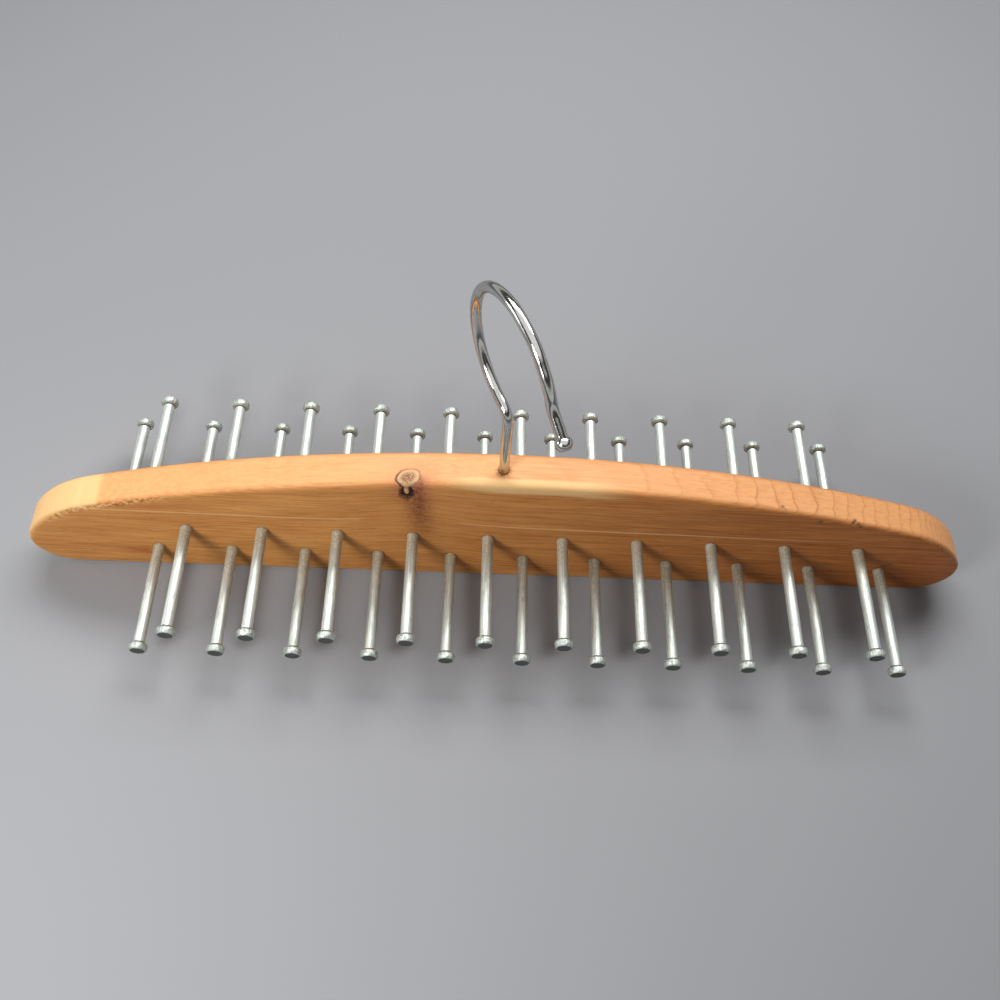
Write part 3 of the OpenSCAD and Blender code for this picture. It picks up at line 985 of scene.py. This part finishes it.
# %% [markdown]
# ## The wood's surface
# Sanded cedar is matt, with a roughness of about 0.5 to 0.6 and the IOR of 1.5 that most plain
# materials have. Fibres and rings stand in a very low relief of 0.15 mm at most.

# %% Finish the cedar
RELIEF = 0.15
rough = add(tree, "MapRange", {"Value": fibres, "From Min": 0.3, "From Max": 0.7,
                               "To Min": 0.48, "To Max": 0.62})
relief = add(tree, "Math", {0: fibres, 1: 0.6, 2: ring_amount}, operation="MULTIPLY_ADD")
bump = add(tree, "Bump", {"Height": relief, "Strength": 0.5, "Distance": RELIEF * MM})
shader = add(tree, "BsdfPrincipled", {"Base Color": wood.outputs[2], "Roughness": rough, "IOR": 1.5,
                                      "Specular IOR Level": 0.3, "Normal": bump})
add(tree, "OutputMaterial", {"Surface": shader})
board_mesh.materials.append(cedar)
print("cedar nodes:", len(tree.nodes))

# %% [markdown]
# ## Round pieces
# The pegs are headed steel pins made from wire, so each is a profile spun round its axis, and the
# hook is one length of wire, so it is a circle carried along a line. Both need the same thing:
# rings of points joined to their neighbours. A screw modifier or a bevelled curve would do it too,
# but rings in code give a point at every change of the profile.

# %% Join rings of points into a piece
SHARP_ANGLE = math.radians(38)


def joined_rings(name, rings, flip=False):
    """A closed piece from rings with the same number of points, and a point at each end."""
    count, around = len(rings), len(rings[0])
    caps = [rings[0].mean(axis=0), rings[-1].mean(axis=0)]
    points = np.concatenate(list(rings) + [caps])
    faces = []
    for k in range(count - 1):
        for i in range(around):
            j = (i + 1) % around
            faces.append((k * around + i, k * around + j, (k + 1) * around + j, (k + 1) * around + i))
    last, start_cap, end_cap = (count - 1) * around, count * around, count * around + 1
    for i in range(around):
        j = (i + 1) % around
        faces += [(j, i, start_cap), (last + i, last + j, end_cap)]
    if flip:
        faces = [f[::-1] for f in faces]
    mesh = bpy.data.meshes.new(name)
    mesh.from_pydata([tuple(p) for p in points * MM], [], faces)
    mesh.shade_smooth()
    mesh.set_sharp_from_angle(angle=SHARP_ANGLE)
    piece = bpy.data.objects.new(name, mesh)
    scene.collection.objects.link(piece)
    return piece


print("round pieces can be made")

# %% [markdown]
# ## Nickel-plated pegs
# The wire was drawn through a die, which leaves fine lines along it, and the head was struck cold,
# which leaves it lightly pitted, with a ring line where the dies met, a small groove whose dark
# colour is painted shade. The struck end is painted dark grey: partly bare steel, partly a painted
# reflection of dark surroundings. The profile comes first, as places measured out from the board's
# face with their radii, because the metal needs to know where along the peg each of these is.

# %% Draw a peg's profile
PEG_REACH = 48.0
LINE_AT = 48.7
LINE_DEPTH = 0.35
HEAD_AT = 49.0
HEAD_R = 4.1
PEG_BEVEL = 0.5
FOOT_SWELL = 0.15
# share of the head's length, and of its radius, from its under side to its flat end
HEAD_SHARES = [(0.0, 0.72), (0.04, 0.83), (0.1, 0.92), (0.18, 0.975), (0.28, 1.0), (0.5, 1.0),
               (0.68, 0.985), (0.8, 0.955), (0.89, 0.905), (0.95, 0.845), (0.985, 0.78), (1.0, 0.72),
               (1.0, 0.5), (0.99, 0.25)]
peg_r = PEG_D / 2
peg_end = box_mm("back_lower_peg_01")[1][1] - face_y
foot = [(-PEG_DEPTH, peg_r - PEG_BEVEL), (PEG_BEVEL - PEG_DEPTH, peg_r), (0.0, peg_r), (0.1, peg_r + 0.13),
        (1.0, peg_r + FOOT_SWELL), (1.6, peg_r)]
shank = [(a, peg_r) for a in np.linspace(5, PEG_REACH - 1.2, 8)]
ring_line = [(LINE_AT - 0.25, peg_r), (LINE_AT - 0.15, peg_r - LINE_DEPTH),
             (LINE_AT + 0.2, peg_r - LINE_DEPTH)]
print("a peg stands out", round(peg_end, 1), "mm")

# %% [markdown]
# ## The pegs' metal
# The nickel was plated in a barrel without polishing, so its highlights are broad and soft, and
# handling has left a pale film on it. Near the wood the metal gets a mottled tan, a painted
# reflection of the wood beside it, and is rougher there. Drawn lines are 0.5 mm apart and 17 mm
# long, dull clouds 2 by 7 mm, and pits and spots about 1 mm, which is coarser than real ones but as
# fine as the picture can show.

# %% Colour the pegs' metal
PIT_SIZE = 1.0526
SPOT_SIZE = 1.111
WOOD_REFLECTION_FADE = (3.0, 20.0)
LINE_HALF = 0.28
pegs_metal, tree = new_material("nickel_plated_drawn_steel")
in_mm = place_in_mm(tree)
along = add(tree, "Attribute", attribute_name="from_face").outputs["Fac"]
lines_place = add(tree, "Mapping", {"Vector": in_mm, "Scale": per_mm(0.4545, 16.67, 0.4545)})
lines = add(tree, "TexNoise", {"Vector": lines_place, "Scale": 1.0, "Detail": 3.0})
clouds_place = add(tree, "Mapping", {"Vector": in_mm, "Scale": per_mm(1.667, 7.14, 1.667)})
clouds = add(tree, "TexNoise", {"Vector": clouds_place, "Scale": 1.0, "Detail": 5.0, "Roughness": 0.7})
pits = add(tree, "TexNoise", {"Vector": in_mm, "Scale": 1 / PIT_SIZE, "Detail": 4.0, "Roughness": 0.65})
spots = add(tree, "TexNoise", {"Vector": in_mm, "Scale": 1 / SPOT_SIZE, "Detail": 5.0, "Roughness": 0.7})

line_shade = add(tree, "MapRange", {"Value": lines, "From Min": 0.35, "From Max": 0.65})
cloud_shade = add(tree, "MapRange", {"Value": clouds, "From Min": 0.5, "From Max": 0.72, "To Max": 0.6})
on_head = add(tree, "MapRange", {"Value": along, "From Min": HEAD_AT, "From Max": HEAD_AT + 0.3})
pit_shade = add(tree, "MapRange", {"Value": pits, "From Min": 0.42, "From Max": 0.62, "To Max": 0.75})
head_shade = add(tree, "Math", {0: pit_shade, 1: on_head}, operation="MULTIPLY")
# painted reflection of the wood: a mottled tan that fades out over the first 20 mm from the face
wood_reflection_fade = add(tree, "MapRange", {"Value": along, "From Min": WOOD_REFLECTION_FADE[0], "From Max": WOOD_REFLECTION_FADE[1],
                                    "To Min": 0.8, "To Max": 0.0})
wood_reflection_spots = add(tree, "MapRange", {"Value": spots, "From Min": 0.4, "From Max": 0.56,
                                     "To Min": 0.15, "To Max": 1.2})
painted_wood_reflection = add(tree, "Math", {0: wood_reflection_fade, 1: wood_reflection_spots}, operation="MULTIPLY", use_clamp=True)
# the struck end is painted dark: partly bare steel, partly a painted reflection of dark surroundings
bare_end_and_painted_reflection = add(tree, "MapRange", {"Value": along, "From Min": peg_end - 0.18, "From Max": peg_end - 0.04})
# painted shade: the ring groove under the head is coloured dark
on_line = add(tree, "Math", {0: along, 1: LINE_AT, 2: LINE_HALF}, operation="COMPARE")
groove_painted_shade = add(tree, "MapRange", {"Value": on_line, "To Max": 0.7})

metal = add(tree, "Mix", {"Factor": line_shade, 6: colour("#e4eae4"), 7: colour("#b9c1ba")}, data_type="RGBA")
for amount, shade in ((cloud_shade, "#8b938c"), (head_shade, "#7f877f"), (painted_wood_reflection, "#b4a784"),
                      (bare_end_and_painted_reflection, "#5c605a"), (groove_painted_shade, "#3a3c38")):
    metal = add(tree, "Mix", {"Factor": amount, 6: metal.outputs[2], 7: colour(shade)}, data_type="RGBA")
print("peg metal nodes so far:", len(tree.nodes))

# %% [markdown]
# ## The pegs' surface
# Barrel plating scatters light widely, with a roughness of about 0.5, and the tan near the wood and
# the dark end are rougher still. The pale film is why metallic is a little below 1, and near the
# wood metallic drops further, so that the painted reflection of the wood shows as a matt tan. The IOR
# stays at its default, as for any metal. The drawn lines and the head's pits stand in a relief of
# 0.3 mm at most.

# %% Finish the pegs' metal
PIT_RELIEF = 0.3
rough = add(tree, "MapRange", {"Value": clouds, "From Min": 0.35, "From Max": 0.65,
                               "To Min": 0.46, "To Max": 0.62})
for dull in (painted_wood_reflection, bare_end_and_painted_reflection):
    rough = add(tree, "Math", {0: dull, 1: 0.15, 2: rough}, operation="MULTIPLY_ADD")
pit_height = add(tree, "Math", {0: pits, 1: on_head}, operation="MULTIPLY")
relief = add(tree, "Math", {0: lines, 1: 0.14, 2: pit_height}, operation="MULTIPLY_ADD")
bump = add(tree, "Bump", {"Height": relief, "Strength": 0.8, "Distance": PIT_RELIEF * MM})
# metallic drops near the wood, so that the painted reflection of the wood shows as a matt tan
film = add(tree, "Math", {0: painted_wood_reflection, 1: -0.62, 2: 0.82}, operation="MULTIPLY_ADD")
shader = add(tree, "BsdfPrincipled", {"Base Color": metal.outputs[2], "Metallic": film, "Roughness": rough,
                                      "Normal": bump})
add(tree, "OutputMaterial", {"Surface": shader})
print("peg metal nodes:", len(tree.nodes))

# %% [markdown]
# ## Spinning the pegs
# The profile is spun round each packed peg's own axis. It ends in the rounded head, which stops
# a necktie from slipping off. A small seeded difference in the head's width and in the turn about
# the axis keeps 42 pegs from looking stamped by one die.

# %% Make the pegs
PEG_SIDES = 32
HEAD_SPREAD = 0.06
chance = np.random.default_rng(21)
for name in pegs:
    x, z, side = peg_places[name]
    widest = HEAD_R - chance.uniform(0, HEAD_SPREAD)
    head = [(HEAD_AT + a * (peg_end - HEAD_AT), r * widest) for a, r in HEAD_SHARES]
    profile = foot + shank + ring_line + head
    turn_angles = np.arange(PEG_SIDES) * 2 * math.pi / PEG_SIDES + chance.uniform(0, 1)
    circle = np.stack([np.cos(turn_angles), np.zeros(PEG_SIDES), np.sin(turn_angles)], 1)
    rings = [np.array([x, side * (face_y + a), z]) + r * circle for a, r in profile]
    peg = joined_rings(name + "_pin", rings, flip=side > 0)
    outward = [a for a, r in profile for _ in range(PEG_SIDES)] + [profile[0][0], profile[-1][0] + 0.1]
    number_points(peg.data, "from_face", outward)
    peg.data.materials.append(pegs_metal)
    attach(peg, "board")
    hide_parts(name)
print("pegs made:", len(pegs), "each", round(peg_end + PEG_DEPTH, 1), "mm long")

# %% [markdown]
# ## Polished chrome wire
# The hook was bent from wire, polished and then chromed, so it mirrors the room sharply and only
# shows fine scuffs where it has slid on a rod. Worn chrome keeps a low roughness of about 0.1, and
# the darker edge tint gives the thin dark outlines that plated wire has in soft light. The scuffs
# are 0.25 mm wide and 2 mm long, and lie askew.

# %% Make the chrome
HAZE_SIZE = 2.857
chrome, tree = new_material("polished_chrome_plate")
in_mm = place_in_mm(tree)
haze = add(tree, "TexNoise", {"Vector": in_mm, "Scale": 1 / HAZE_SIZE, "Detail": 4.0, "Roughness": 0.6})
scuff_place = add(tree, "Mapping", {"Vector": in_mm, "Rotation": (0.4, 0.9, 0.2),
                                    "Scale": per_mm(0.25, 2, 0.25)})
scuffs = add(tree, "TexNoise", {"Vector": scuff_place, "Scale": 1.0, "Detail": 3.0})
plate = add(tree, "Mix", {"Factor": haze, 6: colour("#dcdcda"), 7: colour("#bcbbb7")}, data_type="RGBA")
rough = add(tree, "MapRange", {"Value": haze, "From Min": 0.4, "From Max": 0.7,
                               "To Min": 0.07, "To Max": 0.14})
scuff_rough = add(tree, "MapRange", {"Value": scuffs, "From Min": 0.6, "From Max": 0.72,
                                     "To Min": 0.0, "To Max": 0.1})
rough = add(tree, "Math", {0: rough, 1: scuff_rough}, operation="ADD")
bump = add(tree, "Bump", {"Height": haze, "Strength": 0.25, "Distance": 0.3 * MM})
shader = add(tree, "BsdfPrincipled", {"Base Color": plate.outputs[2], "Metallic": 1.0, "Roughness": rough,
                                      "Specular Tint": (0.75, 0.75, 0.75, 1.0), "Normal": bump})
add(tree, "OutputMaterial", {"Surface": shader})
print("chrome nodes:", len(tree.nodes))

# %% [markdown]
# ## Bending the hook
# The wire runs straight up out of the board, leans back in a small neck bend, goes round the loop,
# flares out and ends in a knob that can't catch on cloth. Every bend is an arc that starts in the
# direction in which the last one stopped, so the whole line is worked out from a few radii. It
# is drawn flat and then turned to stand askew over the board, where the swivel was left.

# %% Lay out the hook's line
LOOP_R = 29.75
LOOP_SET = 0.4
LOOP_RISE = 70.3
LOOP_END = math.radians(26)
NECK_R = 7.0
FLARE_R = 14.0
FLARE_ANGLE = math.radians(25)
TIP_STRAIGHT = 7.0
KNOB_LENGTH = 5.2
SHANK_END_GAP = 0.3
WIRE_STEP = 0.8

shank_low = board_height - SEAT_DEPTH + SHANK_END_GAP
loop_c = np.array([-LOOP_SET, board_height + LOOP_RISE])
neck_drop = math.sqrt((LOOP_R + NECK_R) ** 2 - (NECK_R - LOOP_SET) ** 2)
neck_c = np.array([-NECK_R, loop_c[1] - neck_drop])
neck_end = heading(loop_c - neck_c)
flare_c = loop_c + (LOOP_R + FLARE_R) * np.array([math.cos(LOOP_END), math.sin(LOOP_END)])
flare_start = LOOP_END + math.pi
flare_stop = flare_start + FLARE_ANGLE


def arc(centre, r, start, stop):
    """Points along an arc, either way round."""
    a = np.linspace(start, stop, max(2, round(abs(stop - start) * r / WIRE_STEP)))
    return np.stack([centre[0] + r * np.cos(a), centre[1] + r * np.sin(a)], 1)


straight = [(0, z) for z in np.arange(shank_low, neck_c[1], WIRE_STEP)]
neck = arc(neck_c, NECK_R, 0, neck_end)
loop = arc(loop_c, LOOP_R, neck_end + math.pi, LOOP_END)
flare = arc(flare_c, FLARE_R, flare_start, flare_stop)
tip_way = np.array([-math.sin(flare_stop), math.cos(flare_stop)])
tip = [flare[-1] + d * tip_way for d in np.linspace(0.5, TIP_STRAIGHT + KNOB_LENGTH, 16)]
line = np.concatenate([straight, neck[1:], loop[1:], flare[1:], tip])
line_s = np.concatenate([[0], np.cumsum(np.hypot(*np.diff(line, axis=0).T))])
knob_s = line_s[-1] - KNOB_LENGTH
print("wire length in mm:", round(line_s[-1], 1))

# %% [markdown]
# ## The wire's thickness
# A list of places along the line, each with a radius, gives the wire its bevelled lower end, the
# groove that the retaining pin runs in, and the rounded knob at the tip.

# %% Set the wire's radius along the line
WIRE_R = 2.2
GROOVE_UP = 7.0
GROOVE_HALF = 0.95
GROOVE_R = 1.5
# a step this short gives the groove square shoulders
SLIVER = 0.004
KNOB_R = 3.3
KNOB_ROUND = 2.45
groove_low, groove_high = GROOVE_UP - GROOVE_HALF, GROOVE_UP + GROOVE_HALF
wire_places = [(0.0, WIRE_R - 0.5), (0.25, WIRE_R - 0.15), (0.5, WIRE_R),
               (groove_low, WIRE_R), (groove_low + SLIVER, GROOVE_R),
               (groove_high - SLIVER, GROOVE_R), (groove_high, WIRE_R)]
wire_places += [(d, WIRE_R) for d in np.arange(groove_high + WIRE_STEP, knob_s - 0.3, WIRE_STEP)]
lift = KNOB_R - KNOB_ROUND
start_angle = math.acos((WIRE_R - lift) / KNOB_ROUND)
for a in np.linspace(-start_angle, math.pi / 2, 16):
    knob_up = KNOB_ROUND * math.sin(a) + (KNOB_LENGTH - 2 * KNOB_ROUND) * (a > 0) + KNOB_ROUND
    wire_places.append((knob_s + knob_up, lift + KNOB_ROUND * math.cos(a)))
print("places along the wire:", len(wire_places))

# %% [markdown]
# ## Carrying the circle
# At each place a circle of points stands square to the line. Two slight kinks near the loop's end
# are what a bending tool leaves. They break up the reflections, as on the real wire.

# %% Carry the wire's circle along the line
HOOK_TURN = math.radians(-62)
WIRE_SIDES = 32
# distance back from the flare, length and height of each kink
KINKS = ((12, 3.0, 0.3), (27, 3.5, 0.25))
way = np.gradient(line, line_s, axis=0)
way /= np.linalg.norm(way, axis=1)[:, None]
across = np.array([math.cos(HOOK_TURN), math.sin(HOOK_TURN), 0])
upward = np.array([0, 0, 1.0])
sideways = np.cross(across, upward)
angles = np.arange(WIRE_SIDES) * 2 * math.pi / WIRE_SIDES
flare_s = knob_s - TIP_STRAIGHT - FLARE_R * FLARE_ANGLE
rings = []
for d, r in wire_places:
    u, v = (np.interp(d, line_s, line[:, k]) for k in (0, 1))
    du, dv = (np.interp(d, line_s, way[:, k]) for k in (0, 1))
    inward_bend = dv * across - du * upward
    kink = sum(high * math.exp(-((d - flare_s + back) / wide) ** 2) for back, wide, high in KINKS)
    centre = np.array([hook_x, 0, 0]) + (u * across + v * upward) + kink * inward_bend
    rings.append(centre + r * (np.outer(np.cos(angles), inward_bend) + np.outer(np.sin(angles), sideways)))
hook_wire = joined_rings("hook_wire", rings)
hook_wire.data.materials.append(chrome)
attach(hook_wire, "hook")
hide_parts("hook")
print("hook rings:", len(rings))

# %% [markdown]
# ## Torn fibres round the hook's hole
# The drill came through the soft spring wood and lifted a few fibres at the rim. They are thin
# three-sided splinters with their roots in the wood, leaning out from the hole. Those in front are
# longer. They are seeded, so that they are the same at every run.

# %% Make the splinters
SPLINTERS = 13
ROOT_R = 2.85
ROOT_SINK = 0.22
ROOT_THICK = 0.16
splinter_points, splinter_faces = [], []
for k in range(SPLINTERS):
    a = chance.uniform(0, 2 * math.pi)
    front = 0.5 - 0.5 * math.sin(a)
    length = chance.uniform(0.5, 1.1) + 0.9 * front * chance.uniform(0, 1)
    lean = math.radians(chance.uniform(8, 32))
    a_tip = a + chance.uniform(-0.35, 0.35)
    root = np.array([hook_x + ROOT_R * math.cos(a), ROOT_R * math.sin(a), board_height - ROOT_SINK])
    outwards = np.array([math.cos(a_tip) * math.cos(lean), math.sin(a_tip) * math.cos(lean), math.sin(lean)])
    side_way = np.array([-math.sin(a), math.cos(a), 0]) * chance.uniform(0.06, 0.11)
    base = len(splinter_points)
    splinter_points += [root - side_way, root + side_way, root + np.array([0, 0, ROOT_THICK]),
                        root + length * outwards]
    for i, j, m in ((0, 2, 1), (0, 1, 3), (1, 2, 3), (2, 0, 3)):
        splinter_faces.append((base + i, base + j, base + m))
splinter_mesh = bpy.data.meshes.new("torn_fibres")
splinter_mesh.from_pydata([tuple(p * MM) for p in splinter_points], [], splinter_faces)
torn_fibres = bpy.data.objects.new("torn_fibres", splinter_mesh)
scene.collection.objects.link(torn_fibres)
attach(torn_fibres, "board")
print("splinters:", SPLINTERS)

# %% [markdown]
# ## Raw cedar fibre
# A torn fibre is rougher than the sanded wood, and part of it lies in shade, so its colour goes
# from straw to brown in spots of about a millimetre.

# %% Colour the splinters
FIBRE_SPOT = 1.111
fibre_wood, tree = new_material("raw_cedar_fibre")
shades = add(tree, "TexNoise", {"Vector": place_in_mm(tree), "Scale": 1 / FIBRE_SPOT, "Detail": 2.0})
wood = add(tree, "Mix", {"Factor": shades, 6: colour("#c98e56"), 7: colour("#6e4226")}, data_type="RGBA")
rough = add(tree, "MapRange", {"Value": shades, "To Min": 0.6, "To Max": 0.8})
shader = add(tree, "BsdfPrincipled", {"Base Color": wood.outputs[2], "Roughness": rough})
add(tree, "OutputMaterial", {"Surface": shader})
splinter_mesh.materials.append(fibre_wood)
print("fibre nodes:", len(tree.nodes))

# %% [markdown]
# ## The retaining pin
# A small headed pin from the back runs in a groove of the shank and keeps the hook in while it
# turns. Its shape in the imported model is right, so it stays, and only gets its finish: plain
# bright steel with the fine turning marks of its head, 0.2 mm apart.

# %% Finish the retaining pin
TURNING_MARKS = 0.19635
GREY_SPOT = 1.111
pin_steel, tree = new_material("bright_turned_steel")
in_mm = place_in_mm(tree)
from_axis = add(tree, "VectorMath", {0: in_mm, 1: (pin_place[0], 0, pin_place[1])}, operation="SUBTRACT")
flat = add(tree, "VectorMath", {0: from_axis, 1: (1, 0, 1)}, operation="MULTIPLY")
radius = add(tree, "VectorMath", {0: flat}, operation="LENGTH").outputs["Value"]
turned = add(tree, "Math", {0: radius, 1: 2 * math.pi / TURNING_MARKS}, operation="MULTIPLY")
marks_height = add(tree, "Math", {0: turned}, operation="SINE")
grey = add(tree, "TexNoise", {"Vector": in_mm, "Scale": 1 / GREY_SPOT, "Detail": 3.0})
steel = add(tree, "Mix", {"Factor": grey, 6: colour("#b9bbbe"), 7: colour("#8d8f92")}, data_type="RGBA")
rough = add(tree, "MapRange", {"Value": grey, "To Min": 0.25, "To Max": 0.42})
bump = add(tree, "Bump", {"Height": marks_height, "Strength": 0.2, "Distance": 0.05 * MM})
shader = add(tree, "BsdfPrincipled", {"Base Color": steel.outputs[2], "Metallic": 1.0, "Roughness": rough,
                                      "Normal": bump})
add(tree, "OutputMaterial", {"Surface": shader})
pin_object = frame["nodes"]["hook_retaining_pin"]
pin_object.data.materials.clear()
pin_object.data.materials.append(pin_steel)
print("retaining pin finished")
